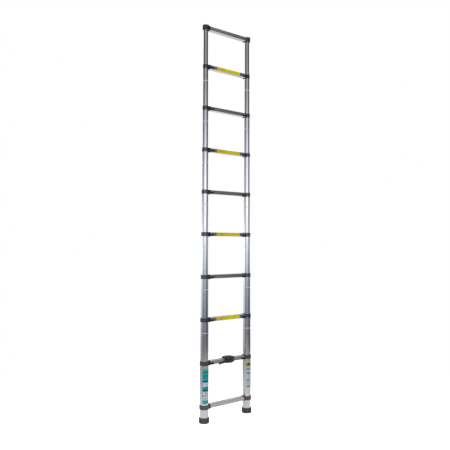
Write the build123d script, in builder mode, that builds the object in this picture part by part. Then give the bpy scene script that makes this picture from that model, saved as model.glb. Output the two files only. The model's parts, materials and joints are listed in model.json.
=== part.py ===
"""Telescoping ladder: nine nested tube sections, ten rungs, thumb-released lock pins.

Frame: +X along the rungs, +Y towards the wall the ladder leans on, +Z up the stiles.
The origin is on the floor, midway between the two feet. The ladder stands fully extended.
Sections and rungs are numbered from the top: section 1 is the narrowest tube pair and
section 9 the widest, which carries rungs 9 and 10, the feet and the closing strap.
"""

from build123d import *
import os

# ---------------------------------------------------------------- driving dimensions (mm)
stile_spacing = 390.0        # between the two stile axes
rung_pitch = 300.0           # between rungs 2 to 10
top_pitch = 282.0            # between rungs 1 and 2
base_rung_height = 108.5     # axis of rung 10 above the floor
section_count = 9
rung_count = 10

top_tube_radius = 16.5       # outer radius of the narrowest tube
tube_wall = 1.4
tube_clearance = 0.3         # radial gap between one tube and the next
tube_overlap = 92.5          # a tube's lower end below the rung axis it slides through
tube_head = 12.0             # a tube's upper end above its own rung axis
ring_drop = 90.0             # rolled ring below the rung axis
upper_ring_drops = {2: 105.0, 3: 97.0}
ring_width = 3.0
ring_depth = 0.4

bush_lip_height = 6.0
bush_lip_proud = 0.15        # bush lip outside the tube it closes
bush_plug_height = 20.0
bush_plug_wall = 4.0
bush_chamfer = 0.8

rung_depth = 40.0
rung_height = 27.0
rung_corner = 3.0
rung_wall = 2.0
tread_groove_count = 7
tread_groove_pitch = 4.2
tread_groove_width = 1.6
tread_groove_depth = 0.8

collar_height = 29.0
collar_wall = 2.2
base_collar_wall = 4.0
collar_edge = 1.2            # rounding of the collar's rims
neck_depth = 36.0
neck_height = 26.0
neck_corner = 3.0
joint_bite = 1.0             # how far one shape of a piece runs into the next
socket_gap = 3.0             # the rung's end sits this far from the tube's surface
base_socket_gap = 4.8
socket_depth = 5.0           # how far the flange reaches over the rung
flange_thickness = 5.5
flange_depth = 44.0
flange_height = 33.0
flange_drop = 1.0            # flange centre below the rung axis
flange_corner = 6.0
socket_clearance = 0.1
plain_spigot_length = 25.5

cap_radius = 24.0
cap_skirt = 14.5             # cap below the top rung's axis
cap_top = 23.0               # cap above the top rung's axis
cap_dome = 9.0               # rounding of the cap's top

pin_radius = 3.5
pin_drop = 4.0               # lock pin axis below the rung axis
pin_end = 34.0               # a lock's distances along the rung count from the tube's surface
pin_gap = 0.1                # pin tip behind the bore of its own tube
pin_hole_radius = 4.0
pin_press_gap = 0.05         # round the pin where the stem holds it
latch_travel = 8.0
lever_start = 9.0
lever_end = 38.0
lever_height = 13.0
lever_thickness = 3.7
lever_gap = 0.3              # between the lever and the rung's front face
lever_corner = 3.0
lever_chamfer = 0.8
lever_rib_count = 4
lever_rib_pitch = 5.0
lever_rib_width = 1.6
lever_rib_height = 8.0
lever_rib_proud = 0.8
lever_rib_corner = 0.75
stem_start = 21.0
stem_end = 28.0
stem_height = 8.0
stem_reach = 5.5             # stem behind the pin axis
stem_slot_margin = 1.0
cage_start = 17.0
cage_end = 50.0              # end of the spigot that houses the lock
cage_wall = 3.5
cage_front = 14.0            # cavity of the lock cage, in front of the rung axis
cage_back = 8.0
cage_low = 9.8
cage_high = 5.0

spring_radius = 4.6
spring_wire_radius = 0.5
spring_wire_sides = 6        # the round wire is drawn six-sided
spring_pitch = 1.9
spring_length = 8.5
spring_gap = 0.7             # wire centre from the stem that it pushes

foot_radius = 36.0
foot_height = 37.0
foot_sole = 6.0
foot_plug_height = 20.0
foot_plug_gap = 0.3
foot_edge = 2.5
foot_rib_count = 4
foot_rib_pitch = 5.5
foot_rib_depth = 0.8
foot_rib_width = 1.6
sole_grooves = ((20.0, 22.0), (26.0, 28.0))
sole_groove_depth = 1.2

strap_centre = 16.0          # along the rung from its middle
strap_width = 80.0
strap_thickness = 9.0
strap_gap = 0.3
tail_length = 60.0
tail_height = 14.0
tail_thickness = 3.0
tail_drop = 12.0             # tail centre below the rung axis
tail_corner = 2.0
buckle_length = 34.0
buckle_height = 20.0
buckle_thickness = 4.0
buckle_window = 4.0
buckle_bar = 5.0
buckle_drop = 2.0            # buckle centre below the rung axis
buckle_rim = 3.0             # plastic above and below the windows, and the corner radius
buckle_chamfer = 0.8

# ---------------------------------------------------------------- derived places
half_spacing = stile_spacing / 2
tube_step = tube_wall + tube_clearance
stile_points = ((-half_spacing, 0), (half_spacing, 0))
rung_front = rung_depth / 2
slot_length = stem_end - stem_start + latch_travel + 2 * stem_slot_margin
slot_middle = (stem_start + stem_end + latch_travel) / 2
slot_height = stem_height + stem_slot_margin
sides = {"left": -1, "right": 1}

os.makedirs("parts", exist_ok=True)


def rung_z(number):
    """Height of a rung's axis, rung 1 at the top."""
    if number == 1:
        return rung_z(2) + top_pitch
    return base_rung_height + (rung_count - number) * rung_pitch


def tube_radius(section):
    """Outer radius of a section's tubes."""
    return top_tube_radius + (section - 1) * tube_step


def stile_radius(number):
    """Outer radius of the tubes that carry a rung; rungs 9 and 10 share the lowest pair."""
    return tube_radius(min(number, section_count))


def rung_start(number):
    """Distance from the stile's axis to the rung's end."""
    gap = base_socket_gap if number == rung_count else socket_gap
    return stile_radius(number) + gap


def tube_ends(section):
    """Lowest and highest point of a section's tubes."""
    head = rung_z(section) + tube_head
    if section == section_count:
        return foot_sole, head
    return rung_z(section + 1) - tube_overlap, head


def inward_plane(distance, z):
    """Upright plane across the left stile's rung, facing the rung's middle."""
    return Plane(origin=(distance - half_spacing, 0, z), x_dir=(0, 1, 0), z_dir=(1, 0, 0))


def save(builder, name):
    """Label a finished piece and write it."""
    builder.part.label = name
    export_step(builder.part, f"parts/{name}.step")


# ---------------------------------------------------------------- stile tubes and their bushes
def make_tubes(section):
    """Left and right tube of a section, with the holes that its lock pins pass."""
    radius = tube_radius(section)
    low, high = tube_ends(section)
    pin_rungs = [section] if section > 1 else []
    if section < section_count:
        pin_rungs.append(section + 1)
    with BuildPart() as tubes:
        with BuildSketch(Plane.XY.offset(low)):
            with Locations(*stile_points):
                Circle(radius)
                Circle(radius - tube_wall, mode=Mode.SUBTRACT)
        extrude(amount=high - low)
        for rung in pin_rungs:
            with BuildSketch(Plane.YZ):
                with Locations((0, rung_z(rung) - pin_drop)):
                    Circle(pin_hole_radius)
            extrude(amount=half_spacing, both=True, mode=Mode.SUBTRACT)
        if 1 < section < section_count:
            drop = upper_ring_drops.get(section, ring_drop)
            with BuildSketch(Plane.XY.offset(rung_z(section) - drop - ring_width / 2)):
                with Locations(*stile_points):
                    Circle(radius + ring_depth)
                    Circle(radius - ring_depth, mode=Mode.SUBTRACT)
            extrude(amount=ring_width, mode=Mode.SUBTRACT)
    save(tubes, f"stile_tubes_{section}")


def make_bushes(section):
    """Plastic bushes that close a section's two lower tube ends and guide them."""
    radius = tube_radius(section)
    low = tube_ends(section)[0]
    plug_radius = radius - tube_wall - socket_clearance
    with BuildPart() as bushes:
        with BuildSketch(Plane.XY.offset(low - bush_lip_height)):
            with Locations(*stile_points):
                Circle(radius + bush_lip_proud)
        extrude(amount=bush_lip_height)
        chamfer(bushes.edges().filter_by(GeomType.CIRCLE).group_by(Axis.Z)[0], bush_chamfer)
        with BuildSketch(Plane.XY.offset(low)):
            with Locations(*stile_points):
                Circle(plug_radius)
        extrude(amount=bush_plug_height)
        with BuildSketch(Plane.XY.offset(low - bush_lip_height)):
            with Locations(*stile_points):
                Circle(plug_radius - bush_plug_wall)
        extrude(amount=bush_lip_height + bush_plug_height, mode=Mode.SUBTRACT)
    save(bushes, f"tube_bushes_{section}")


# ---------------------------------------------------------------- rungs
def make_rung(number):
    """Hollow ribbed extrusion, slotted in front where the latch stems pass."""
    z = rung_z(number)
    half_length = half_spacing - rung_start(number)
    end_plane = Plane(origin=(-half_length, 0, z), x_dir=(0, 1, 0), z_dir=(1, 0, 0))
    first_groove = -(tread_groove_count - 1) / 2 * tread_groove_pitch
    groove_places = [
        (first_groove + i * tread_groove_pitch, rung_height / 2)
        for i in range(tread_groove_count)
    ]
    with BuildPart() as rung:
        with BuildSketch(end_plane):
            RectangleRounded(rung_depth, rung_height, rung_corner)
            RectangleRounded(
                rung_depth - 2 * rung_wall,
                rung_height - 2 * rung_wall,
                rung_corner - rung_wall,
                mode=Mode.SUBTRACT,
            )
            with Locations(*groove_places):
                Rectangle(tread_groove_width, 2 * tread_groove_depth, mode=Mode.SUBTRACT)
        extrude(amount=2 * half_length)
        if 1 < number < rung_count:
            slot_x = half_spacing - stile_radius(number) - slot_middle
            slot_z = z - pin_drop
            with BuildSketch(Plane.XZ.offset(rung_front + joint_bite)):
                with Locations((-slot_x, slot_z), (slot_x, slot_z)):
                    Rectangle(slot_length, slot_height)
            extrude(amount=-(rung_wall + 2 * joint_bite), mode=Mode.SUBTRACT)
    save(rung, f"rung_{number:02d}")


# ---------------------------------------------------------------- collars and top caps
def rung_profile(inset):
    """Rung's outer profile, shrunk all round by an inset, or grown where it is negative."""
    with BuildSketch() as profile:
        RectangleRounded(
            rung_depth - 2 * inset,
            rung_height - 2 * inset,
            rung_corner - max(inset, 0),
        )
    return profile.sketch


def make_flange(number):
    """Neck and flange that reach from the left collar or cap towards its rung."""
    z = rung_z(number)
    flange_end = rung_start(number) + socket_depth
    flange_start = flange_end - flange_thickness
    with BuildPart() as flange:
        with BuildSketch(inward_plane(0, z)):
            RectangleRounded(neck_depth, neck_height, neck_corner)
        extrude(amount=flange_start + joint_bite)
        with BuildSketch(inward_plane(flange_start, z - flange_drop)):
            RectangleRounded(flange_depth, flange_height, flange_corner)
        extrude(amount=flange_thickness)
    return flange.part


def make_socket(number):
    """Room for the rung's end in the flange."""
    with BuildPart() as socket:
        with BuildSketch(inward_plane(rung_start(number), rung_z(number))):
            add(rung_profile(-socket_clearance))
        extrude(amount=socket_depth + joint_bite)
    return socket.part


def make_spigot(number, spigot_end):
    """Block inside the rung's end."""
    start = rung_start(number) - joint_bite
    with BuildPart() as spigot:
        with BuildSketch(inward_plane(start, rung_z(number))):
            add(rung_profile(rung_wall + socket_clearance))
        extrude(amount=spigot_end - start)
    return spigot.part


def make_lock_space(number):
    """Pin bore, spring cavity and stem slot that a lock needs in the left collar."""
    z = rung_z(number)
    radius = tube_radius(number)
    with BuildPart() as space:
        with BuildSketch(inward_plane(0, z - pin_drop)):
            Circle(pin_radius + tube_clearance)
        extrude(amount=radius + cage_start + joint_bite)
        with BuildSketch(inward_plane(radius + cage_start, z)):
            with Locations(((cage_back - cage_front) / 2, (cage_high - cage_low) / 2)):
                Rectangle(cage_front + cage_back, cage_low + cage_high)
        extrude(amount=cage_end - cage_wall - cage_start)
        with BuildSketch(Plane.XZ.offset(rung_front)):
            with Locations((radius + slot_middle - half_spacing, z - pin_drop)):
                Rectangle(slot_length, slot_height)
        extrude(amount=-(rung_front - cage_front + joint_bite))
    return space.part


def make_collars(number, wall, name):
    """Left and right collar of a rung, round its tubes; a sliding one covers their heads."""
    z = rung_z(number)
    radius = stile_radius(number)
    low = z - collar_height / 2
    slides = number <= section_count
    bore_low = z - flange_height
    bore_top = z + (tube_head if slides else collar_height)
    spigot_end = radius + cage_end if slides else rung_start(number) + plain_spigot_length
    flange = make_flange(number)
    socket = make_socket(number)
    spigot = make_spigot(number, spigot_end)
    with BuildPart() as collars:
        with BuildSketch(Plane.XY.offset(low)):
            with Locations(stile_points[0]):
                Circle(radius + wall)
        extrude(amount=collar_height)
        fillet(collars.edges().filter_by(GeomType.CIRCLE), collar_edge)
        add(flange)
        add(socket, mode=Mode.SUBTRACT)
        add(spigot)
        with BuildSketch(Plane.XY.offset(bore_low)):
            with Locations(stile_points[0]):
                Circle(radius + socket_clearance)
        extrude(amount=bore_top - bore_low, mode=Mode.SUBTRACT)
        if slides:
            with BuildSketch(Plane.XY.offset(bore_top)):
                with Locations(stile_points[0]):
                    Circle(radius - tube_wall)
            extrude(amount=collar_height, mode=Mode.SUBTRACT)
            add(make_lock_space(number), mode=Mode.SUBTRACT)
        mirror(about=Plane.YZ)
    save(collars, name)


def make_top_cap(side_name):
    """Domed cap over a stile's top, which also holds the end of the top rung."""
    z = rung_z(1)
    flange = make_flange(1)
    socket = make_socket(1)
    spigot = make_spigot(1, rung_start(1) + plain_spigot_length)
    skirt_z = z - cap_skirt
    with BuildPart() as cap:
        with BuildSketch(Plane.XY.offset(skirt_z)):
            with Locations(stile_points[0]):
                Circle(cap_radius)
        extrude(amount=cap_skirt + cap_top)
        fillet(cap.edges().filter_by(GeomType.CIRCLE).group_by(Axis.Z)[-1], cap_dome)
        fillet(cap.edges().filter_by(GeomType.CIRCLE).group_by(Axis.Z)[0], collar_edge)
        add(flange)
        add(socket, mode=Mode.SUBTRACT)
        add(spigot)
        with BuildSketch(Plane.XY.offset(skirt_z)):
            with Locations(stile_points[0]):
                Circle(tube_radius(1) + socket_clearance)
        extrude(amount=cap_skirt + tube_head, mode=Mode.SUBTRACT)
        if side_name == "right":
            mirror(about=Plane.YZ, mode=Mode.REPLACE)
    save(cap, f"top_cap_{side_name}")


# ---------------------------------------------------------------- lock latches
def make_latch(number, side_name):
    """Thumb lever with its stem, the lock pin pressed through it, and the return spring."""
    z = rung_z(number)
    pin_z = z - pin_drop
    radius = tube_radius(number)
    pin_tip = radius - tube_wall + pin_gap
    lever_middle = radius + (lever_start + lever_end) / 2 - half_spacing
    stem_middle = radius + (stem_start + stem_end) / 2 - half_spacing
    lever_back = rung_front + lever_gap
    rib_places = [
        (lever_middle + (i - (lever_rib_count - 1) / 2) * lever_rib_pitch, z - lever_height / 2)
        for i in range(lever_rib_count)
    ]
    spring_start = radius + stem_end + spring_gap - half_spacing
    with BuildPart() as latch:
        with BuildSketch(Plane.XZ.offset(lever_back)):
            with Locations((lever_middle, z - lever_height / 2)):
                RectangleRounded(lever_end - lever_start, lever_height, lever_corner)
        extrude(amount=lever_thickness)
        chamfer(latch.faces().sort_by(Axis.Y)[0].edges(), lever_chamfer)
        with BuildSketch(Plane.XZ.offset(lever_back + lever_thickness)):
            with Locations(*rib_places):
                RectangleRounded(lever_rib_width, lever_rib_height, lever_rib_corner)
        extrude(amount=lever_rib_proud)
        with BuildSketch(Plane.XZ.offset(-stem_reach)):
            with Locations((stem_middle, pin_z)):
                Rectangle(stem_end - stem_start, stem_height)
        extrude(amount=stem_reach + lever_back)
        with BuildSketch(inward_plane(radius + stem_start, pin_z)):
            Circle(pin_radius + pin_press_gap)
        extrude(amount=stem_end - stem_start, mode=Mode.SUBTRACT)
        with BuildSketch(inward_plane(pin_tip, pin_z)):
            Circle(pin_radius)
        extrude(amount=radius + pin_end - pin_tip)
        with BuildLine() as coil:
            Helix(
                pitch=spring_pitch,
                height=spring_length,
                radius=spring_radius,
                center=(spring_start, 0, pin_z),
                direction=(1, 0, 0),
            )
        with BuildSketch(Plane(origin=coil.line @ 0, z_dir=coil.line % 0)):
            RegularPolygon(spring_wire_radius, spring_wire_sides)
        sweep(is_frenet=True)
        if side_name == "right":
            mirror(about=Plane.YZ, mode=Mode.REPLACE)
    save(latch, f"latch_{number}_{side_name}")


# ---------------------------------------------------------------- feet
def make_foot(side_name):
    """Rubber foot: a cup round the tube's end, with a plug inside it and grip rings."""
    x = sides[side_name] * half_spacing
    tube_outer = tube_radius(section_count)
    plug_radius = tube_outer - tube_wall - foot_plug_gap
    first_rib = foot_height / 2 - (foot_rib_count - 1) / 2 * foot_rib_pitch
    with BuildPart() as foot:
        with BuildSketch():
            with Locations((x, 0)):
                Circle(foot_radius)
        extrude(amount=foot_height)
        chamfer(foot.edges().filter_by(GeomType.CIRCLE).group_by(Axis.Z)[-1], foot_edge)
        fillet(foot.edges().filter_by(GeomType.CIRCLE).group_by(Axis.Z)[0], foot_edge)
        with BuildSketch(Plane.XY.offset(foot_sole)):
            with Locations((x, 0)):
                Circle(tube_outer + socket_clearance)
                Circle(plug_radius, mode=Mode.SUBTRACT)
        extrude(amount=foot_height, mode=Mode.SUBTRACT)
        with BuildSketch(Plane.XY.offset(foot_sole + foot_plug_height)):
            with Locations((x, 0)):
                Circle(plug_radius + 1)
        extrude(amount=foot_height, mode=Mode.SUBTRACT)
        for i in range(foot_rib_count):
            rib_z = first_rib + i * foot_rib_pitch - foot_rib_width / 2
            with BuildSketch(Plane.XY.offset(rib_z)):
                with Locations((x, 0)):
                    Circle(foot_radius + 1)
                    Circle(foot_radius - foot_rib_depth, mode=Mode.SUBTRACT)
            extrude(amount=foot_rib_width, mode=Mode.SUBTRACT)
        for inner, outer in sole_grooves:
            with BuildSketch():
                with Locations((x, 0)):
                    Circle(outer)
                    Circle(inner, mode=Mode.SUBTRACT)
            extrude(amount=sole_groove_depth, mode=Mode.SUBTRACT)
    save(foot, f"foot_{side_name}")


# ---------------------------------------------------------------- closing strap on rung 9
def make_strap():
    """Webbing strap wound round rung 9, its loose tail and its slide buckle."""
    z = rung_z(section_count)
    left_end = strap_centre - strap_width / 2
    inner_depth = rung_depth + 2 * strap_gap
    inner_height = rung_height + 2 * strap_gap
    roll_depth = inner_depth + 2 * strap_thickness
    roll_height = inner_height + 2 * strap_thickness
    roll_plane = Plane(origin=(left_end, 0, z), x_dir=(0, 1, 0), z_dir=(1, 0, 0))
    with BuildPart() as roll:
        with BuildSketch(roll_plane):
            RectangleRounded(roll_depth, roll_height, rung_corner + strap_thickness)
            RectangleRounded(inner_depth, inner_height, rung_corner, mode=Mode.SUBTRACT)
        extrude(amount=strap_width)
    save(roll, "strap_roll")

    with BuildPart() as tail:
        with BuildSketch(Plane.XZ.offset(rung_front + strap_gap)):
            with Locations((left_end - strap_gap - tail_length / 2, z - tail_drop)):
                RectangleRounded(tail_length, tail_height, tail_corner)
        extrude(amount=tail_thickness)
    save(tail, "strap_tail")

    with BuildPart() as buckle:
        with BuildSketch(Plane.XZ.offset(roll_depth / 2 + strap_gap)):
            with Locations((strap_centre, z - buckle_drop)):
                RectangleRounded(buckle_length, buckle_height, buckle_rim)
                with GridLocations(buckle_window + buckle_bar, 0, 2, 1):
                    SlotOverall(
                        buckle_height - 2 * buckle_rim,
                        buckle_window,
                        rotation=90,
                        mode=Mode.SUBTRACT,
                    )
        extrude(amount=buckle_thickness)
        chamfer(buckle.faces().sort_by(Axis.Y)[0].outer_wire().edges(), buckle_chamfer)
    save(buckle, "strap_buckle")


for section_number in range(1, section_count + 1):
    make_tubes(section_number)
    make_rung(section_number)
    if section_number < section_count:
        make_bushes(section_number)
    if section_number > 1:
        make_collars(section_number, collar_wall, f"rung_collars_{section_number}")
        for name_of_side in sides:
            make_latch(section_number, name_of_side)

make_rung(rung_count)
make_collars(rung_count, base_collar_wall, "base_collars")
make_strap()
for name_of_side in sides:
    make_top_cap(name_of_side)
    make_foot(name_of_side)
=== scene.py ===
"""Telescoping ladder, fully extended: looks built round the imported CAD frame.

The CAD pieces keep their shapes and get metal, plastic and rubber materials. This script
adds what is printed, stuck or wound on them: the dark grip strips and labels on the rungs,
the labels on the two lowest tubes, and the webbing strap on the second rung from the floor.
"""

import json
import math

import bmesh
import bpy
from mathutils import Matrix, Vector


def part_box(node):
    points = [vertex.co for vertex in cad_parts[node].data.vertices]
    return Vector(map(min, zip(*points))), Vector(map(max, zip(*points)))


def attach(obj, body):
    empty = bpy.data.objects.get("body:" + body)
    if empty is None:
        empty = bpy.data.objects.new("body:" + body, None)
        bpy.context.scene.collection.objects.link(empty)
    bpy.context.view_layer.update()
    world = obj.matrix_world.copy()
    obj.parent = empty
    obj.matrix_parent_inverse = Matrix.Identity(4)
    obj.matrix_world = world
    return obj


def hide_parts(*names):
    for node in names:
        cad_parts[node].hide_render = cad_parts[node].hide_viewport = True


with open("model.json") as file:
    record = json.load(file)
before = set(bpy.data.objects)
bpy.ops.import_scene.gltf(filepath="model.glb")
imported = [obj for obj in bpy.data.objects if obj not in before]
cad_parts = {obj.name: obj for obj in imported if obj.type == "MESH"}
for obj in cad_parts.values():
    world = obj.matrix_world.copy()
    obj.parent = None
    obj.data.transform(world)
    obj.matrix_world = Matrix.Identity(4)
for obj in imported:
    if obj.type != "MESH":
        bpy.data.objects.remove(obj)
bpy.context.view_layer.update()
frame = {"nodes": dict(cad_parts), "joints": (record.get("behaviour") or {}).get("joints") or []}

# ------------------------------------------------------------------ places taken from the frame
SECTIONS = range(1, 10)
RUNGS = range(1, 11)
LABELLED_RUNGS = (2, 4, 6, 8)
STRIPPED_RUNGS = range(1, 9)
LOWEST_SECTION = 9


def middle(node):
    """Centre of a node's box."""
    low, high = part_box(node)
    return (Vector(low) + Vector(high)) / 2


def span(node):
    """Size of a node's box."""
    low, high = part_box(node)
    return Vector(high) - Vector(low)


def rung_body(number):
    """Body that a rung rides on: rungs 9 and 10 share the lowest section."""
    return f"section_{min(number, LOWEST_SECTION)}"


RUNG_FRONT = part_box("rung_01")[0][1]
RUNG_HALF_HEIGHT = span("rung_01").z / 2
STILE_X = middle("foot_right").x
LOW_TUBE_RADIUS = span("stile_tubes_9").y / 2


# ------------------------------------------------------------------ node material helpers
class Look:
    """One procedural material under construction."""

    def __init__(self, name, colour, metallic=0.0, roughness=0.5):
        self.material = bpy.data.materials.new(name)
        self.material.use_nodes = True
        self.tree = self.material.node_tree
        self.shader = self.tree.nodes["Principled BSDF"]
        self.shader.inputs["Base Color"].default_value = (*colour, 1)
        self.shader.inputs["Metallic"].default_value = metallic
        self.shader.inputs["Roughness"].default_value = roughness
        self.place = self.add("ShaderNodeTexCoord").outputs["Object"]

    def add(self, kind, **settings):
        """New node, with attributes set by name and input values by socket name."""
        node = self.tree.nodes.new(kind)
        for key, value in settings.items():
            if hasattr(node, key):
                setattr(node, key, value)
            else:
                node.inputs[key.replace("_", " ")].default_value = value
        return node

    def link(self, start, end):
        self.tree.links.new(start, end)

    def scaled(self, scale):
        """Object coordinates stretched by a scale, which makes grain run one way."""
        mapping = self.add("ShaderNodeMapping")
        mapping.inputs["Scale"].default_value = scale
        self.link(self.place, mapping.inputs["Vector"])
        return mapping.outputs["Vector"]

    def noise(self, scale, detail=3.0, strength=0.5, vector=None):
        """Noise value, 0 to 1."""
        node = self.add("ShaderNodeTexNoise", Scale=scale, Detail=detail, Roughness=strength)
        self.link(vector or self.place, node.inputs["Vector"])
        return node.outputs["Fac"]

    def ranged(self, value, low, high, start=0.3, stop=0.7):
        """Map a value's start..stop to low..high."""
        node = self.add("ShaderNodeMapRange")
        node.inputs["From Min"].default_value = start
        node.inputs["From Max"].default_value = stop
        node.inputs["To Min"].default_value = low
        node.inputs["To Max"].default_value = high
        self.link(value, node.inputs["Value"])
        return node.outputs["Result"]

    def ramp(self, value, *stops):
        """Colour ramp over (position, colour) stops."""
        node = self.add("ShaderNodeValToRGB")
        elements = node.color_ramp.elements
        while len(elements) < len(stops):
            elements.new(0.5)
        for element, (position, colour) in zip(elements, stops):
            element.position = position
            element.color = (*colour, 1)
        self.link(value, node.inputs["Fac"])
        return node.outputs["Color"]

    def math(self, operation, first, second=None):
        """Math node on sockets or numbers."""
        node = self.add("ShaderNodeMath", operation=operation)
        for slot_number, value in enumerate((first, second)):
            if value is None:
                continue
            if isinstance(value, (int, float)):
                node.inputs[slot_number].default_value = value
            else:
                self.link(value, node.inputs[slot_number])
        return node.outputs["Value"]

    def axis(self, letter):
        """One object coordinate."""
        node = self.add("ShaderNodeSeparateXYZ")
        self.link(self.place, node.inputs["Vector"])
        return node.outputs[letter]

    def mix(self, factor, first, second):
        """Blend of two colours, given as sockets or tuples."""
        node = self.add("ShaderNodeMix", data_type="RGBA")
        self.link(factor, node.inputs["Factor"])
        for name, value in (("A", first), ("B", second)):
            sockets = [s for s in node.inputs if s.name == name and s.type == "RGBA"]
            if isinstance(value, tuple):
                sockets[0].default_value = (*value, 1)
            else:
                self.link(value, sockets[0])
        return [s for s in node.outputs if s.type == "RGBA"][0]

    def colour_from(self, socket):
        self.link(socket, self.shader.inputs["Base Color"])

    def roughness_from(self, socket):
        self.link(socket, self.shader.inputs["Roughness"])

    def bump(self, height, strength, distance, below=None):
        """Bump from a height value, chained on an earlier bump if given."""
        node = self.add("ShaderNodeBump", Strength=strength, Distance=distance)
        self.link(height, node.inputs["Height"])
        if below:
            self.link(below, node.inputs["Normal"])
        self.link(node.outputs["Normal"], self.shader.inputs["Normal"])
        return node.outputs["Normal"]


# ------------------------------------------------------------------ materials
RING_HALF_WIDTH = 0.0026
# Painted highlight of the rolled ring: its pale tone, and how much metal look the band loses.
RING_HIGHLIGHT_TONE = (0.93, 0.93, 0.93)
RING_HIGHLIGHT_DULLNESS = 0.8
# Painted shade lines across the rungs' front faces: their spacing, and the share of each step they
# take.
SHADE_LINE_PITCH = 0.0065
SHADE_LINE_SHARE = 0.34
FACE_DEPTH = 0.0004
PLASTIC_IOR = 1.6
TWILL_PER_METRE = 2400.0


def tube_metal(name, tone, ring_height=None):
    """Drawn, anodised aluminium: fine lines up the tube, and a painted highlight on the rolled ring
    if it has one: a pale, less metallic band.
    """
    look = Look(name, tone, metallic=1.0, roughness=0.24)
    lines = look.noise(1.0, 2.0, 0.5, look.scaled((900, 900, 1.5)))
    clouds = look.noise(5.0, 2.0, 0.5)
    dark = tuple(c * 0.95 for c in tone)
    light = tuple(c * 1.02 for c in tone)
    base = look.ramp(lines, (0.3, dark), (0.7, light))
    surface_tone = look.mix(look.ranged(clouds, 0.0, 0.3), base, tuple(c * 0.93 for c in tone))
    if ring_height is not None:
        # Painted highlight: a pale, less metallic band along the rolled ring, laid over the wear.
        offset = look.math("ABSOLUTE", look.math("SUBTRACT", look.axis("Z"), ring_height))
        in_ring_highlight = look.math("LESS_THAN", offset, RING_HALF_WIDTH)
        surface_tone = look.mix(in_ring_highlight, surface_tone, RING_HIGHLIGHT_TONE)
        highlight_metallic = look.math("SUBTRACT", 1.0, look.math("MULTIPLY", in_ring_highlight, RING_HIGHLIGHT_DULLNESS))
        look.link(highlight_metallic, look.shader.inputs["Metallic"])
    look.colour_from(surface_tone)
    look.roughness_from(look.ranged(clouds, 0.14, 0.19))
    look.bump(lines, 0.02, 0.0002)
    return look.material


def rung_metal(name, tone):
    """Extruded aluminium: die lines along the rung and scuffs on the tread; painted shade on the
    front face, darker all over, with darker painted shade lines standing for grooves.
    """
    look = Look(name, tone, metallic=1.0, roughness=0.3)
    lines = look.noise(1.0, 3.0, 0.6, look.scaled((5, 450, 450)))
    scuffs = look.noise(60.0, 5.0, 0.7)
    dark = tuple(c * 0.86 for c in tone)
    base = look.ramp(lines, (0.3, dark), (0.7, tone))
    surface_tone = look.mix(look.ranged(scuffs, 0.0, 0.3, 0.55, 0.75), base, dark)
    # Painted shade on the front face: the whole face darker, and darker still in lines standing for
    # shaded grooves.
    beat = look.math("FRACT", look.math("MULTIPLY", look.axis("Z"), 1 / SHADE_LINE_PITCH))
    in_shade_line = look.math("LESS_THAN", beat, SHADE_LINE_SHARE)
    face = look.mix(in_shade_line, tuple(c * 0.84 for c in tone), tuple(c * 0.52 for c in tone))
    on_front = look.math("LESS_THAN", look.axis("Y"), RUNG_FRONT + FACE_DEPTH)
    look.colour_from(look.mix(on_front, surface_tone, face))
    look.roughness_from(look.ranged(scuffs, 0.26, 0.36))
    look.bump(lines, 0.05, 0.0003)
    return look.material


def moulded_plastic(name, tone, roughness=0.42, gloss=0.5, grain=1400.0):
    """Glass-filled nylon: fine spark-erosion grain, paler where hands rub it."""
    look = Look(name, tone, roughness=roughness)
    fine = look.noise(grain, 2.0, 0.5)
    broad = look.noise(45.0, 4.0, 0.6)
    rubbed = tuple(c * 1.7 + 0.004 for c in tone)
    look.colour_from(look.mix(look.ranged(broad, 0.0, 0.6, 0.45, 0.75), tone, rubbed))
    look.roughness_from(look.ranged(broad, roughness - 0.07, roughness + 0.1))
    look.bump(fine, 0.25, 0.0002)
    look.shader.inputs["IOR"].default_value = PLASTIC_IOR
    look.shader.inputs["Specular IOR Level"].default_value = gloss
    return look.material


def foot_rubber(name):
    """Dense grey-black rubber with a dusty bloom."""
    look = Look(name, (0.052, 0.052, 0.054), roughness=0.62)
    grain = look.noise(700.0, 3.0, 0.6)
    dust = look.noise(30.0, 5.0, 0.65)
    look.colour_from(
        look.ramp(dust, (0.35, (0.062, 0.062, 0.064)), (0.7, (0.105, 0.105, 0.105)))
    )
    look.roughness_from(look.ranged(dust, 0.52, 0.72))
    look.bump(grain, 0.35, 0.0004)
    return look.material


def strip_coating(name):
    """Dark ribbed grip strip: satin grey with fine lengthwise streaks."""
    look = Look(name, (0.24, 0.24, 0.24), metallic=0.2, roughness=0.45)
    streaks = look.noise(1.0, 3.0, 0.6, look.scaled((8, 600, 600)))
    look.colour_from(
        look.ramp(streaks, (0.3, (0.198, 0.195, 0.198)), (0.7, (0.272, 0.268, 0.270)))
    )
    look.roughness_from(look.ranged(streaks, 0.38, 0.5))
    look.bump(look.noise(500.0, 2.0), 0.15, 0.0003)
    return look.material


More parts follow.
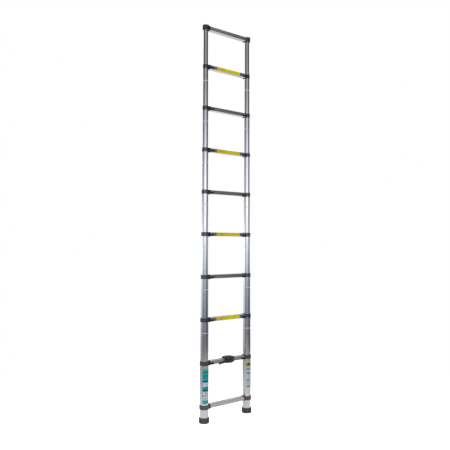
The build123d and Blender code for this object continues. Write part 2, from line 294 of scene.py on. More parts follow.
def webbing(name, tone):
    """Woven polyester webbing: ribs across the strap and a chevron twill along it."""
    look = Look(name, tone, roughness=0.8)
    mapped = look.add("ShaderNodeUVMap")
    split = look.add("ShaderNodeSeparateXYZ")
    look.link(mapped.outputs["UV"], split.inputs["Vector"])
    along = split.outputs["X"]
    across = split.outputs["Y"]
    fold = look.math("ABSOLUTE", look.math("SUBTRACT", across, 0.5))
    lengthwise = look.math("MULTIPLY", along, TWILL_PER_METRE)
    twill = look.math("ADD", lengthwise, look.math("MULTIPLY", fold, 60.0))
    wave = look.math("SINE", twill)
    cords = look.math("SINE", look.math("MULTIPLY", across, 130.0))
    weave_relief = look.math("ADD", wave, cords)
    fuzz = look.noise(900.0, 4.0, 0.7)
    light = tuple(c * 2.4 + 0.004 for c in tone)
    # The colour follows the weave's relief: painted light on the crests and painted shade in the
    # hollows. The fuzz adds lighter lint at random.
    base = look.mix(look.ranged(weave_relief, 0.0, 1.0, -2.0, 2.0), tone, light)
    look.colour_from(look.mix(look.ranged(fuzz, 0.0, 0.35), base, light))
    below = look.bump(weave_relief, 0.8, 0.0003)
    look.bump(fuzz, 0.3, 0.0003, below)
    look.shader.inputs["Sheen Weight"].default_value = 0.25
    return look.material


# ------------------------------------------------------------------ mesh helpers
def new_object(name, mesh, *materials):
    """Object in the scene from a finished bmesh."""
    data = bpy.data.meshes.new(name)
    mesh.to_mesh(data)
    mesh.free()
    for material in materials:
        data.materials.append(material)
    made = bpy.data.objects.new(name, data)
    bpy.context.scene.collection.objects.link(made)
    for face in data.polygons:
        face.use_smooth = True
    return made


def keep_creases(made, degrees):
    """Edges sharper than an angle stay sharp and the other faces stay smooth."""
    made.data.set_sharp_from_angle(angle=math.radians(degrees))
    return made


# ------------------------------------------------------------------ CAD nodes get their materials
BLACK = (0.017, 0.017, 0.019)
TUBE_TONE = (0.765, 0.775, 0.80)
RUNG_TONE = (0.76, 0.75, 0.80)
LEVER_TONE = (0.012, 0.012, 0.013)
BUSH_TONE = (0.022, 0.022, 0.024)
BUCKLE_TONE = (0.014, 0.014, 0.015)
WEB_TONE = (0.0125, 0.0105, 0.0115)
UPPER_RING_DROPS = {2: 0.105, 3: 0.097}
RING_DROP = 0.090


def paint(node, material):
    """Give a CAD node one material in all of its slots."""
    mesh = frame["nodes"][node].data
    if not mesh.materials:
        mesh.materials.append(material)
    for index in range(len(mesh.materials)):
        mesh.materials[index] = material


collar_plastic = moulded_plastic("collar_plastic", BLACK, roughness=0.24, gloss=1.0)
lever_plastic = moulded_plastic("lever_plastic", LEVER_TONE, roughness=0.36)
bush_plastic = moulded_plastic("bush_plastic", BUSH_TONE, roughness=0.5)
rubber = foot_rubber("foot_rubber")
rung_aluminium = rung_metal("rung_aluminium", RUNG_TONE)

for section in SECTIONS:
    has_ring = 1 < section < LOWEST_SECTION
    drop = UPPER_RING_DROPS.get(section, RING_DROP)
    ring = middle(f"rung_{section:02d}").z - drop if has_ring else None
    paint(f"stile_tubes_{section}", tube_metal(f"tube_{section}", TUBE_TONE, ring))
    if section < LOWEST_SECTION:
        paint(f"tube_bushes_{section}", bush_plastic)
    if section > 1:
        paint(f"rung_collars_{section}", collar_plastic)
        for side in ("left", "right"):
            paint(f"latch_{section}_{side}", lever_plastic)
for rung in RUNGS:
    paint(f"rung_{rung:02d}", rung_aluminium)
for node in ("base_collars", "top_cap_left", "top_cap_right"):
    paint(node, collar_plastic)
for node in ("foot_left", "foot_right"):
    paint(node, rubber)
paint("strap_buckle", moulded_plastic("buckle_plastic", BUCKLE_TONE))
strap_cloth = webbing("strap_webbing", WEB_TONE)
for node in ("strap_roll", "strap_tail"):
    paint(node, strap_cloth)

# ------------------------------------------------------------------ printed marks
DASH_SHARE = 0.78


class Print(Look):
    """Film whose marks are placed in UV space, in metres from the film's lower left corner."""

    def __init__(self, name, tone, roughness=0.32):
        super().__init__(name, tone, roughness=roughness)
        mapped = self.add("ShaderNodeUVMap")
        split = self.add("ShaderNodeSeparateXYZ")
        self.link(mapped.outputs["UV"], split.inputs["Vector"])
        self.u = split.outputs["X"]
        self.v = split.outputs["Y"]
        self.ground = tone
        self.layers = []

    def offset(self, socket, centre):
        return self.math("SUBTRACT", socket, centre)

    def inside(self, socket, centre, size):
        """1 where the socket is within size / 2 of centre."""
        distance = self.math("ABSOLUTE", self.offset(socket, centre))
        return self.math("LESS_THAN", distance, size / 2)

    def block(self, centre, size, tone, dash=None):
        """Rectangle, broken into dashes of a given length if asked."""
        mask = self.math(
            "MULTIPLY",
            self.inside(self.u, centre[0], size[0]),
            self.inside(self.v, centre[1], size[1]),
        )
        if dash:
            beat = self.math("FRACT", self.math("MULTIPLY", self.u, 1 / dash))
            mask = self.math("MULTIPLY", mask, self.math("LESS_THAN", beat, DASH_SHARE))
        self.layers.append((mask, tone))

    def disc(self, centre, radius, tone, hole=0.0):
        """Disc, or ring where hole is the inner radius."""
        across = self.offset(self.u, centre[0])
        up = self.offset(self.v, centre[1])
        squares = (self.math("MULTIPLY", across, across), self.math("MULTIPLY", up, up))
        reach = self.math("SQRT", self.math("ADD", *squares))
        mask = self.math("LESS_THAN", reach, radius)
        if hole:
            mask = self.math("MULTIPLY", mask, self.math("GREATER_THAN", reach, hole))
        self.layers.append((mask, tone))

    def slant(self, centre, size, tone, slope):
        """Upright bar of a width and height, leaning by slope."""
        up = self.offset(self.v, centre[1])
        across = self.offset(self.u, centre[0])
        lean = self.math("SUBTRACT", across, self.math("MULTIPLY", up, slope))
        mask = self.math(
            "MULTIPLY",
            self.math("LESS_THAN", self.math("ABSOLUTE", lean), size[0] / 2),
            self.inside(self.v, centre[1], size[1]),
        )
        self.layers.append((mask, tone))

    def wedge(self, centre, size, tone):
        """Triangle standing on its base."""
        up = self.math("SUBTRACT", self.v, centre[1] - size[1] / 2)
        allowed = self.math(
            "MULTIPLY", self.math("SUBTRACT", 1.0, self.math("DIVIDE", up, size[1])), size[0] / 2
        )
        across = self.math("ABSOLUTE", self.offset(self.u, centre[0]))
        mask = self.math(
            "MULTIPLY",
            self.math("LESS_THAN", across, allowed),
            self.math("GREATER_THAN", up, 0.0),
        )
        self.layers.append((mask, tone))

    def finished(self):
        """Lay the marks over the ground, with uneven ink and light scuffs."""
        colour = self.ramp(
            self.noise(160.0, 4.0, 0.6),
            (0.3, self.ground),
            (0.8, tuple(min(1.0, c * 1.1 + 0.01) for c in self.ground)),
        )
        for mask, tone in self.layers:
            colour = self.mix(mask, colour, tone)
        scuffs = self.noise(70.0, 6.0, 0.75)
        pale = tuple(0.8 * c + 0.1 for c in self.ground)
        self.colour_from(self.mix(self.ranged(scuffs, 0.0, 0.10, 0.66, 0.82), colour, pale))
        self.roughness_from(self.ranged(scuffs, 0.26, 0.42))
        self.bump(self.noise(120.0, 2.0), 0.06, 0.0003)
        self.shader.inputs["Specular IOR Level"].default_value = 0.25
        return self.material


OLIVE = (0.86, 0.66, 0.002)
ORANGE = (1.0, 0.60, 0.003)
AMBER = (1.0, 0.72, 0.001)
RED = (0.72, 0.26, 0.10)
GREEN = (0.10, 0.30, 0.02)
YELLOW = (1.0, 0.86, 0.001)
TEAL = (0.001, 0.36, 0.44)
BRIGHT_TEAL = (0.001, 0.47, 0.56)
MID_TEAL = (0.002, 0.24, 0.29)
DARK_TEAL = (0.002, 0.10, 0.125)
PAPER = (0.74, 0.77, 0.80)
GREY_INK = (0.28, 0.29, 0.31)
LILAC = (0.42, 0.40, 0.52)

CAUTION_SIZE = (0.214, 0.0238)
CAUTION_CENTRE = 0.001
CAUTION_CORNER = 0.0015
MAKER_SIZE = (0.064, 0.236)
MAKER_TOP_GAP = 0.037
NOTICE_WIDTH = 0.052
SEAL_SIZE = (NOTICE_WIDTH, 0.035)
SEAL_TOP_GAP = 0.036
RATING_SIZE = (NOTICE_WIDTH, 0.147)
RATING_TOP_GAP = 0.0775


def caution_print():
    """Yellow rung label: a border, an orange end, plain shapes and rows of dashes."""
    film = Print("caution_film", YELLOW)
    width, height = CAUTION_SIZE
    middle_v = height / 2
    for v in (0.0012, height - 0.0012):
        film.block((width / 2, v), (width - 0.004, 0.0005), OLIVE)
    film.block((0.041, middle_v), (0.074, 0.0205), AMBER)
    film.block((0.020, middle_v), (0.026, 0.017), ORANGE)
    film.wedge((0.020, middle_v), (0.015, 0.012), YELLOW)
    film.block((0.020, middle_v - 0.001), (0.0016, 0.005), OLIVE)
    film.disc((0.044, middle_v), 0.0072, RED, hole=0.0054)
    film.slant((0.044, middle_v), (0.0018, 0.0098), RED, 0.9)
    film.slant((0.062, middle_v), (0.0030, 0.0130), OLIVE, -0.55)
    film.slant((0.070, middle_v), (0.0014, 0.0130), OLIVE, 0.25)
    for row in range(3):
        v = middle_v + (row - 1) * 0.0048
        film.block((0.112 - 0.004 * row, v), (0.052 - 0.008 * row, 0.0015), OLIVE, dash=0.0047)
    film.disc((0.156, middle_v), 0.0062, GREEN, hole=0.0048)
    for row in range(2):
        v = middle_v + (row - 0.5) * 0.0056
        film.block((0.186, v), (0.036, 0.0014), OLIVE, dash=0.0061)
    return film.finished()


def maker_print():
    """Teal label of the left stile: coloured bands and white panels with plain shapes."""
    film = Print("maker_film", TEAL)
    width, top = MAKER_SIZE
    middle_u = width / 2

    def band(start, stop, tone, across=width):
        film.block((middle_u, top - (start + stop) / 2), (across, stop - start), tone)

    band(0.000, 0.017, BRIGHT_TEAL)
    band(0.018, 0.027, (0.13, 0.17, 0.01), width - 0.006)
    band(0.028, 0.036, BRIGHT_TEAL)
    for start in (0.042, 0.050, 0.058):
        film.block((middle_u, top - start), (width * 0.62, 0.0022), MID_TEAL, dash=0.0072)
    band(0.064, 0.076, BRIGHT_TEAL)
    band(0.079, 0.088, DARK_TEAL)
    band(0.091, 0.119, PAPER, width - 0.007)
    film.slant((middle_u - 0.010, top - 0.105), (0.0024, 0.018), GREY_INK, 0.45)
    film.slant((middle_u - 0.003, top - 0.105), (0.0024, 0.018), GREY_INK, -0.35)
    film.disc((middle_u + 0.016, top - 0.104), 0.0075, LILAC, hole=0.005)
    band(0.140, 0.150, DARK_TEAL)
    band(0.153, 0.178, PAPER, width - 0.007)
    film.block((middle_u - 0.005, top - 0.165), (0.010, 0.013), GREY_INK)
    film.disc((middle_u + 0.014, top - 0.166), 0.0078, RED, hole=0.0055)
    band(0.179, 0.183, LILAC, width - 0.007)
    band(0.185, 0.212, PAPER, width - 0.007)
    film.wedge((middle_u - 0.012, top - 0.199), (0.014, 0.013), GREEN)
    film.disc((middle_u + 0.008, top - 0.199), 0.0085, RED, hole=0.0062)
    film.slant((middle_u + 0.008, top - 0.199), (0.0022, 0.012), RED, 0.8)
    band(0.214, 0.236, BRIGHT_TEAL)
    return film.finished()


def seal_print():
    """Small framed label of the right stile."""
    film = Print("seal_film", (0.62, 0.62, 0.30))
    width, height = SEAL_SIZE
    film.block((width / 2, height / 2), (width - 0.006, height - 0.009), (0.30, 0.29, 0.10))
    film.disc((width * 0.34, height / 2), 0.0085, (0.05, 0.05, 0.008))
    film.block((width * 0.68, height / 2), (0.016, 0.016), (0.26, 0.10, 0.04))
    return film.finished()


def rating_print():
    """Pale label of the right stile: dark teal headings over rows of thin grey bars."""
    film = Print("rating_film", (0.64, 0.64, 0.67))
    width, top = RATING_SIZE
    aqua = (0.44, 0.70, 0.76)
    film.block((width / 2, top - 0.0245), (width - 0.004, 0.019), aqua)
    film.block((width / 2, top - 0.118), (width - 0.004, 0.024), aqua)
    for start in (0.0105, 0.040, 0.092, 0.137):
        film.block((width / 2, top - start), (width * 0.84, 0.0078), DARK_TEAL, dash=0.040)
    for first, count in ((0.049, 7), (0.101, 5)):
        for row in range(count):
            film.block(
                (width * 0.47, top - first - row * 0.0052),
                (width * (0.80 - 0.06 * (row % 3)), 0.0011),
                GREY_INK,
                dash=0.0058,
            )
    return film.finished()


# ------------------------------------------------------------------ grip strips and rung labels
STRIP_BASE = 0.00045
STRIP_RIB = 0.00035
STRIP_RIB_PITCH = 0.0021
STRIP_HALF_HEIGHT = RUNG_HALF_HEIGHT - 0.0011
RUNG_CORNER = 0.003
STRIP_GAP = 0.0001
STRIP_CREASE = 50
STRIP_SAMPLES_PER_RIB = 6
STRIP_END_BEVEL = 0.0006
SOCKET_DEPTH = 0.005
SOCKET_GAP = 0.0005
LATCH_TRAVEL = max(
    abs(limit)
    for joint in frame["joints"] if joint["name"].startswith("latch")
    for limit in joint["range_m"]
)
LEVER_TOP = 0.0012
LEVER_GAP = 0.002
SPLIT_GAP = 0.0003
FILM_THICKNESS = 0.0002
FILM_GAP = 0.00005
FILM_CREASE = 40


def corner_setback(height):
    """How far the rung's face curves back at a height from its middle line."""
    past = max(0.0, abs(height) - (RUNG_HALF_HEIGHT - RUNG_CORNER))
    return RUNG_CORNER - math.sqrt(RUNG_CORNER ** 2 - past ** 2)


def ribbed_band(low, high, half_length, z, back):
    """Rows of a thin ribbed bar along X that follows the rung's face from low to high about z."""
    ribs = max(1, round((high - low) / STRIP_RIB_PITCH))
    samples = STRIP_SAMPLES_PER_RIB * ribs
    face = []
    for i in range(samples + 1):
        height = low + (high - low) * i / samples
        crest = 0.5 - 0.5 * math.cos(2 * math.pi * ribs * i / samples)
        face.append((height, STRIP_BASE + STRIP_RIB * crest))
    rows = []
    for place, share in ((-1, 0.5), (-1, 1.0), (1, 1.0), (1, 0.5)):
        x = place * (half_length - (0 if share == 0.5 else STRIP_END_BEVEL))
        row = [(x, back + corner_setback(up) - share * depth, z + up) for up, depth in face]
        row += [(x, back + corner_setback(up), z + up) for up, _ in reversed(face)]
        rows.append(row)
    return rows


def joined(name, parts, *materials):
    """One object from several closed shells of rows."""
    mesh = bmesh.new()
    for rows in parts:
        verts = [[mesh.verts.new(point) for point in row] for row in rows]
        across = len(verts[0])
        for near, far in zip(verts, verts[1:]):
            for i in range(across):
                j = (i + 1) % across
                mesh.faces.new((near[i], near[j], far[j], far[i]))
        mesh.faces.new(reversed(verts[0]))
        mesh.faces.new(verts[-1])
    bmesh.ops.recalc_face_normals(mesh, faces=mesh.faces)
    return new_object(name, mesh, *materials)


def make_strip(number, coating):
    """Grip strip on a rung's front, cut back under the two levers where there are any."""
    z = middle(f"rung_{number:02d}").z
    back = RUNG_FRONT - STRIP_GAP
    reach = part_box(f"rung_{number:02d}")[1][0] - SOCKET_DEPTH - SOCKET_GAP
    top = STRIP_HALF_HEIGHT
    if number == 1:
        parts = [ribbed_band(-top, top, reach, z, back)]
    else:
        lever_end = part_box(f"latch_{number}_right")[0][0]
        lower_reach = lever_end - LATCH_TRAVEL - LEVER_GAP
        parts = [
            ribbed_band(LEVER_TOP, top, reach, z, back),
            ribbed_band(-top, LEVER_TOP - SPLIT_GAP, lower_reach, z, back),
        ]
    strip = joined(f"rung_grip_{number}", parts, coating)
    keep_creases(strip, STRIP_CREASE)
    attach(strip, rung_body(number))


def rounded_outline(width, height, radius, steps=5):
    """Corner-rounded rectangle about the origin."""
    points = []
    for turn, (sx, sy) in enumerate(((1, 1), (-1, 1), (-1, -1), (1, -1))):
        for i in range(steps + 1):
            angle = math.pi / 2 * (turn + i / steps)
            points.append((
                sx * (width / 2 - radius) + radius * math.cos(angle),
                sy * (height / 2 - radius) + radius * math.sin(angle),
            ))
    return points


def set_uv(made, mapping):
    """Write a UV map from a function of the vertex position."""
    layer = made.data.uv_layers.new(name="UVMap")
    for loop in made.data.loops:
        layer.data[loop.index].uv = mapping(made.data.vertices[loop.vertex_index].co)


def make_caution_label(number, film):
    """Flat yellow film over the middle of a rung's grip strip."""
    width, height = CAUTION_SIZE
    z = middle(f"rung_{number:02d}").z
    back = RUNG_FRONT - STRIP_GAP - STRIP_BASE - STRIP_RIB - FILM_GAP
    outline = rounded_outline(width, height, CAUTION_CORNER)
    rows = [[(CAUTION_CENTRE + x, y, z + up) for x, up in outline]
            for y in (back, back - FILM_THICKNESS)]
    label = joined(f"rung_label_{number}", [rows], film)
    keep_creases(label, FILM_CREASE)
    left = CAUTION_CENTRE - width / 2
    set_uv(label, lambda co: (co.x - left, co.z - z + height / 2))
    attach(label, rung_body(number))


grip_coating = strip_coating("grip_coating")
caution_film = caution_print()
for number in STRIPPED_RUNGS:
    make_strip(number, grip_coating)
for number in LABELLED_RUNGS:
    make_caution_label(number, caution_film)


# ------------------------------------------------------------------ labels round the lowest tubes
TUBE_FILM_GAP = 0.00006
TUBE_FILM_STEPS = 24


def make_tube_label(name, x, top, size, corner, film):
    """Film wrapped round a lowest tube, centred on the side that faces forward."""
    width, height = size
    inner = LOW_TUBE_RADIUS + TUBE_FILM_GAP
    outer = inner + FILM_THICKNESS
    bottom = top - height
    across = TUBE_FILM_STEPS
    heights = [corner * (1 - math.cos(math.pi / 2 * i / 4)) for i in range(5)]
    levels = heights + [height - value for value in reversed(heights)]
    rows = []
    for level in levels:
        depth = max(0.0, corner - min(level, height - level))
        half = (width / 2 - corner + math.sqrt(corner ** 2 - depth ** 2)) / outer
        angles = [half * (2 * i / across - 1) for i in range(across + 1)]
        row = [(x + outer * math.sin(a), -outer * math.cos(a), bottom + level) for a in angles]
        row += [
            (x + inner * math.sin(a), -inner * math.cos(a), bottom + level)
            for a in reversed(angles)
        ]
        rows.append(row)
    label = joined(name, [rows], film)
    keep_creases(label, FILM_CREASE)

    def unrolled(co):
        return (math.atan2(co.x - x, -co.y) * outer + width / 2, co.z - bottom)

    set_uv(label, unrolled)
    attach(label, f"section_{LOWEST_SECTION}")


LABEL_TOP = middle("rung_09").z
make_tube_label(
    "maker_label", -STILE_X, LABEL_TOP - MAKER_TOP_GAP, MAKER_SIZE, 0.006, maker_print()
)
make_tube_label("seal_label", STILE_X, LABEL_TOP - SEAL_TOP_GAP, SEAL_SIZE, 0.002, seal_print())
make_tube_label(
    "rating_label", STILE_X, LABEL_TOP - RATING_TOP_GAP, RATING_SIZE, 0.003, rating_print()
)

# ------------------------------------------------------------------ closing strap
WEB_THICKNESS = 0.0014
WEB_LAYER_GAP = 0.0002
WEB_EDGE = 0.0007
WEB_CREASE = 60
WEB_STEPS_PER_TURN = 72
RUNG_HALF_DEPTH = span("rung_09").y / 2
STRAP_RUNG = middle("rung_09")
STRAP_X = middle("strap_roll").x


def smooth_path(points, steps=10):
    """Catmull-Rom curve through given points."""
    path = []
    knots = [points[0], *points, points[-1]]
    for a, b, c, d in zip(knots, knots[1:], knots[2:], knots[3:]):
        a, b, c, d = (Vector(p) for p in (a, b, c, d))
        for i in range(steps):
            t = i / steps
            path.append(
                0.5 * (2 * b + (c - a) * t + (2 * a - 5 * b + 4 * c - d) * t ** 2
                       + (3 * b - a - 3 * c + d) * t ** 3)
            )
    path.append(Vector(points[-1]))
    return path


def ribbon(name, path, widths, width, material):
    """Flat webbing along a path; widths are the directions of its width, point by point."""
    half = width / 2
    thick = WEB_THICKNESS / 2
    inset = half - WEB_EDGE
    section = [
        (-half, -thick * 0.4), (-inset, -thick), (0.0, -thick), (inset, -thick),
        (half, -thick * 0.4), (half, thick * 0.4), (inset, thick), (0.0, thick),
        (-inset, thick), (-half, thick * 0.4),
    ]
    rows = []
    lengths = [0.0]
    for i, point in enumerate(path):
        ahead = path[min(i + 1, len(path) - 1)]
        behind = path[max(i - 1, 0)]
        along = (ahead - behind).normalized()
        across = (widths[i] - widths[i].dot(along) * along).normalized()
        out = along.cross(across).normalized()
        rows.append([point + across * a + out * b for a, b in section])
        if i:
            lengths.append(lengths[-1] + (point - path[i - 1]).length)
    made = joined(name, [rows], material)
    layer = made.data.uv_layers.new(name="UVMap")
    across_uv = [(a + half) / width for a, b in section]
    count = len(section)
    for loop in made.data.loops:
        index = loop.vertex_index
        layer.data[loop.index].uv = (lengths[index // count], across_uv[index % count])
    keep_creases(made, WEB_CREASE)
    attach(made, f"section_{LOWEST_SECTION}")
    return made


def round_rung(share, offset):
    """Point and outward direction at a share of the way round the rung, going up the front."""
    corner = RUNG_CORNER + offset
    flat_y = RUNG_HALF_DEPTH - RUNG_CORNER
    flat_z = RUNG_HALF_HEIGHT - RUNG_CORNER
    arc = math.pi / 2 * corner
    runs = [
        ((-1, 0), flat_z * 2), (("arc", -1, 1), arc), ((0, 1), flat_y * 2), (("arc", 1, 1), arc),
        ((1, 0), flat_z * 2), (("arc", 1, -1), arc), ((0, -1), flat_y * 2), (("arc", -1, -1), arc),
    ]
    left = (share % 1.0) * sum(length for _, length in runs)
    for kind, length in runs:
        if left > length:
            left -= length
            continue
        t = left / length
        if kind[0] == "arc":
            start = {(-1, 1): math.pi, (1, 1): math.pi / 2, (1, -1): 0.0, (-1, -1): -math.pi / 2}
            angle = start[kind[1:]] - t * math.pi / 2
            out = Vector((0, math.cos(angle), math.sin(angle)))
            return Vector((0, kind[1] * flat_y, kind[2] * flat_z)) + out * corner, out
        out = Vector((0, kind[0], kind[1]))
        sweep = (2 * t - 1) * Vector((0, kind[1] * flat_y, -kind[0] * flat_z))
        return out * (corner + (flat_y if kind[0] else flat_z)) + sweep, out
    return round_rung(0.0, offset)


def wound(name, centre, lean, drift, turns, start, first_offset, puff, width):
    """Webbing wound round rung 9, leaning to and fro each turn and drifting along the rung.

    Centre is along X from the strap's middle. Start is the share of a turn where it begins,
    first_offset the layer's height above the rung, and puff how far it stands off at its loosest.
    """
    steps = int(turns * WEB_STEPS_PER_TURN)
    path = []
    widths = []
    for i in range(steps + 1):
        share = start + turns * i / steps
        lift = first_offset + (share - start) * (WEB_THICKNESS + WEB_LAYER_GAP)
        loose = puff * (0.5 + 0.5 * math.sin(2 * math.pi * (share - 0.10)))
        point, out = round_rung(share, lift)
        sway = lean * math.sin(2 * math.pi * share)
        shift = STRAP_X + centre + sway + drift * (share - start) / turns
        path.append(STRAP_RUNG + point + out * loose + Vector((shift - STRAP_RUNG.x, 0, 0)))
        widths.append(Vector((1, 0, 0)))
    return ribbon(name, path, widths, width, strap_cloth)


left_turns = wound(
    "strap_turns_left", centre=-0.020, lean=-0.006, drift=0.003, turns=3.15, start=0.02,
    first_offset=0.0011, puff=0.0016, width=0.036,
)
wound(
    "strap_turns_right", centre=0.019, lean=0.004, drift=-0.002, turns=3.2, start=0.45,
    first_offset=0.0011, puff=0.0014, width=0.038,
)
wound(
    "strap_turns_over", centre=0.001, lean=0.009, drift=0.005, turns=1.35, start=0.80,
    first_offset=0.0066, puff=0.0022, width=0.040,
)
wound(
    "strap_turns_outer", centre=-0.007, lean=-0.012, drift=0.004, turns=0.72, start=0.92,
    first_offset=0.0082, puff=0.0012, width=0.030,
)
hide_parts("strap_roll")


TAIL_WIDTH = 0.014
LOOSE_END_WIDTH = 0.017
LOOSE_END_LEAN = Vector((0.25, 1, 0.05))


def from_rung(x, y, z):
    """Point given from the middle of rung 9, in millimetres."""
    return STRAP_RUNG + Vector((x, y, z)) / 1000


tail_path = smooth_path([
    from_rung(50, -29.5, 2), from_rung(36, -32.5, 0), from_rung(27, -33.5, -2),
    from_rung(21, -35.5, -2), from_rung(16, -36.5, -2), from_rung(11, -35.5, -2),
    from_rung(5, -33.5, -2.5), from_rung(-8, -33.0, -4), from_rung(-20, -30.0, -6.5),
    from_rung(-32, -26.0, -9), from_rung(-46, -22.8, -11.5), from_rung(-62, -22.6, -13),
    from_rung(-76, -23.4, -15), from_rung(-84, -24.6, -18),
])
upright = [Vector((0, 0, 1))] * len(tail_path)
tail = ribbon("strap_tail_web", tail_path, upright, TAIL_WIDTH, strap_cloth)
loop_path = smooth_path([
    from_rung(14, -12, 23.6), from_rung(0, -14, 24.4), from_rung(-12, -17, 24.2),
    from_rung(-24, -20, 21.5), from_rung(-33, -22.5, 17.5), from_rung(-36, -23.5, 12.0),
])
leaning = [LOOSE_END_LEAN] * len(loop_path)
ribbon("strap_loose_end", loop_path, leaning, LOOSE_END_WIDTH, strap_cloth)
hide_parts("strap_tail")

# ------------------------------------------------------------------ floor, light and camera
CAMERA_AZIMUTH = math.radians(38.636)
CAMERA_DISTANCE = 4.0107
CAMERA_HEIGHT = 1.2489
CAMERA_YAW = math.radians(38.456)
CAMERA_PITCH = math.radians(2.774)
CAMERA_ROLL = math.radians(0.184)
CAMERA_LENS = 44.046
CAMERA_SHIFT = -0.0200
CAMERA_SHIFT_RIGHT = 0.0004
FLOOR_RADIUS = 2.4
FLOOR_TONE = (0.42, 0.41, 0.41)
FLOOR_LIGHT_POOL_TONE = (0.90, 0.875, 0.85)
FLOOR_NEAR = 0.30
FLOOR_FAR = 1.45
FLOOR_GLOW = 0.9
HORIZON_BLEND = 0.06
BEHIND_START = math.radians(140)
BEHIND_FULL = math.radians(165)


def make_floor():
    """Round sweep of board, lit up for the camera so that it meets the white backdrop, with a
    painted pool of light: pale round the ladder, grey further out.
    """
    mesh = bmesh.new()
    bmesh.ops.create_circle(mesh, cap_ends=True, segments=96, radius=FLOOR_RADIUS)
    look = Look("floor_board", FLOOR_TONE, roughness=0.9)
    mottle = look.noise(3.0, 2.0)
    pale = tuple(c * 1.03 for c in FLOOR_TONE)
    far = look.ramp(mottle, (0.3, FLOOR_TONE), (0.7, pale))
    # Painted pool of light: the board's colour fades from pale near the middle to grey outward.
    reach = look.add("ShaderNodeVectorMath", operation="LENGTH")
    look.link(look.place, reach.inputs[0])
    near = look.ranged(reach.outputs["Value"], 1.0, 0.0, FLOOR_NEAR, FLOOR_FAR)
    look.colour_from(look.mix(near, far, FLOOR_LIGHT_POOL_TONE))
    look.shader.inputs["Emission Color"].default_value = (1, 1, 1, 1)
    seen = look.add("ShaderNodeLightPath").outputs["Is Camera Ray"]
    look.link(look.math("MULTIPLY", seen, FLOOR_GLOW), look.shader.inputs["Emission Strength"])
    floor = new_object("floor", mesh, look.material)


# What the metal reflects. Brightness by height runs over (sin of elevation + 1) / 2; brightness by
# bearing runs over whole turns from the side behind the ladder, with the front in the middle.
STUDIO_BY_HEIGHT = (
    (0.00, 0.40), (0.34, 0.22), (0.41, 0.13), (0.445, 0.30), (0.475, 0.45), (0.495, 1.25),
    (0.544, 1.40), (0.575, 1.05), (0.61, 0.55), (0.66, 0.24), (0.75, 0.50), (1.00, 1.2),
)
BEARINGS_ABOVE = (
    (0.00, 0.60), (0.14, 0.55), (0.21, 0.32), (0.33, 0.30), (0.40, 0.58), (0.46, 1.15),
    (0.55, 1.28), (0.60, 0.95), (0.645, 0.50), (0.69, 0.20), (0.77, 0.14), (0.83, 0.30),
    (1.00, 0.60),
)
BEARINGS_BELOW = (
    (0.00, 1.40), (0.15, 2.90), (0.27, 2.50), (0.335, 1.25), (0.38, 0.74), (0.43, 0.80),
    (0.48, 1.02), (0.56, 1.05), (0.64, 0.60), (0.72, 0.42), (0.78, 0.60), (0.86, 1.10),
    (1.00, 1.40),
)
PLAIN_WHITE = (1.0, 1.0, 1.0)
COOL_WHITE = (0.95, 0.985, 1.05)
COOLER_WHITE = (0.91, 0.98, 1.07)
TINT_BY_HEIGHT = (
    (0.40, PLAIN_WHITE), (0.445, COOLER_WHITE), (0.480, COOLER_WHITE), (0.505, PLAIN_WHITE),
    (0.535, PLAIN_WHITE), (0.575, COOL_WHITE), (0.63, COOL_WHITE), (0.70, PLAIN_WHITE),
)
BEHIND_BY_HEIGHT = (
    (0.00, 0.5), (0.34, 0.75), (0.42, 1.15), (0.50, 1.1), (0.58, 0.85), (0.66, 0.80), (1.00, 0.8),
)


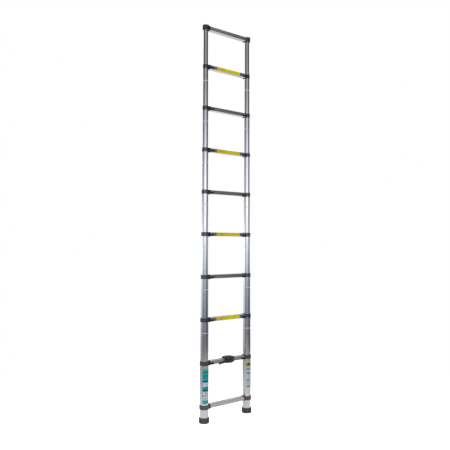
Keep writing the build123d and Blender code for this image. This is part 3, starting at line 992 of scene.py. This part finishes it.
def make_world():
    """White behind the object; what it reflects is a soft studio that changes round the horizon."""
    world = bpy.data.worlds.new("studio")
    bpy.context.scene.world = world
    world.use_nodes = True
    tree = world.node_tree
    link = tree.links.new

    def add(kind, **settings):
        node = tree.nodes.new(kind)
        for key, value in settings.items():
            setattr(node, key, value)
        return node

    def graded(value, stops):
        node = add("ShaderNodeValToRGB")
        elements = node.color_ramp.elements
        while len(elements) < len(stops):
            elements.new(0.5)
        for element, (position, level) in zip(elements, stops):
            element.position = position
            element.color = (*level, 1) if isinstance(level, tuple) else (level, level, level, 1)
        link(value, node.inputs["Fac"])
        return node.outputs["Color"]

    def ranged(value, start, stop, low=0.0, high=1.0, smooth=False):
        node = add("ShaderNodeMapRange")
        if smooth:
            node.interpolation_type = "SMOOTHSTEP"
        limits = {"From Min": start, "From Max": stop, "To Min": low, "To Max": high}
        for key, number in limits.items():
            node.inputs[key].default_value = number
        link(value, node.inputs["Value"])
        return node.outputs["Result"]

    def share(x, y):
        node = add("ShaderNodeVectorMath", operation="DOT_PRODUCT")
        node.inputs[1].default_value = (x, y, 0)
        link(direction, node.inputs[0])
        return node.outputs["Value"]

    def mixed(factor, first, second, blend="MIX"):
        node = add("ShaderNodeMix", data_type="RGBA", blend_type=blend)
        if factor is None:
            node.inputs["Factor"].default_value = 1.0
        else:
            link(factor, node.inputs["Factor"])
        for slot, value in ((6, first), (7, second)):
            if isinstance(value, tuple):
                node.inputs[slot].default_value = value
            else:
                link(value, node.inputs[slot])
        return node.outputs[2]

    direction = add("ShaderNodeTexCoord").outputs["Generated"]
    split = add("ShaderNodeSeparateXYZ")
    link(direction, split.inputs["Vector"])
    height = ranged(split.outputs["Z"], -1, 1)
    bearing = add("ShaderNodeMath", operation="ARCTAN2")
    link(share(math.cos(CAMERA_AZIMUTH), -math.sin(CAMERA_AZIMUTH)), bearing.inputs[0])
    link(share(-math.sin(CAMERA_AZIMUTH), -math.cos(CAMERA_AZIMUTH)), bearing.inputs[1])
    turn = ranged(bearing.outputs["Value"], -math.pi, math.pi)
    above = ranged(split.outputs["Z"], -HORIZON_BLEND, HORIZON_BLEND, smooth=True)
    by_bearing = mixed(above, graded(turn, BEARINGS_BELOW), graded(turn, BEARINGS_ABOVE))
    studio = mixed(None, graded(height, STUDIO_BY_HEIGHT), by_bearing, "MULTIPLY")
    studio = mixed(None, studio, graded(height, TINT_BY_HEIGHT), "MULTIPLY")
    from_front = add("ShaderNodeMath", operation="ABSOLUTE")
    link(bearing.outputs["Value"], from_front.inputs[0])
    behind = ranged(from_front.outputs["Value"], BEHIND_START, BEHIND_FULL, smooth=True)
    studio = mixed(behind, studio, graded(height, BEHIND_BY_HEIGHT))
    seen = add("ShaderNodeLightPath").outputs["Is Camera Ray"]
    link(mixed(seen, studio, (1, 1, 1, 1)), tree.nodes["Background"].inputs["Color"])


def make_lamp(name, place, target, size, power):
    """Square soft light aimed at a point."""
    data = bpy.data.lights.new(name, "AREA")
    data.shape = "SQUARE"
    data.size = size
    data.energy = power
    lamp = bpy.data.objects.new(name, data)
    bpy.context.scene.collection.objects.link(lamp)
    lamp.location = place
    lamp.rotation_euler = (Vector(target) - Vector(place)).to_track_quat("-Z", "Y").to_euler()
    lamp.visible_camera = False


def make_camera():
    """Camera at chest height, to the left of the ladder's front."""
    data = bpy.data.cameras.new("camera")
    data.sensor_width = 36.0
    data.lens = CAMERA_LENS
    data.shift_x = CAMERA_SHIFT_RIGHT
    data.shift_y = CAMERA_SHIFT
    camera = bpy.data.objects.new("camera", data)
    bpy.context.scene.collection.objects.link(camera)
    turn = (
        Matrix.Rotation(-CAMERA_YAW, 4, "Z")
        @ Matrix.Rotation(math.pi / 2 + CAMERA_PITCH, 4, "X")
        @ Matrix.Rotation(CAMERA_ROLL, 4, "Z")
    )
    place = Vector((
        -CAMERA_DISTANCE * math.sin(CAMERA_AZIMUTH),
        -CAMERA_DISTANCE * math.cos(CAMERA_AZIMUTH),
        CAMERA_HEIGHT,
    ))
    camera.matrix_world = Matrix.Translation(place) @ turn
    bpy.context.scene.camera = camera


make_floor()
make_world()
make_lamp("overhead", place=(0, 0, 5.5), target=(0, 0, 0), size=4.0, power=160)
make_camera()
bpy.context.scene.view_settings.view_transform = "Standard"
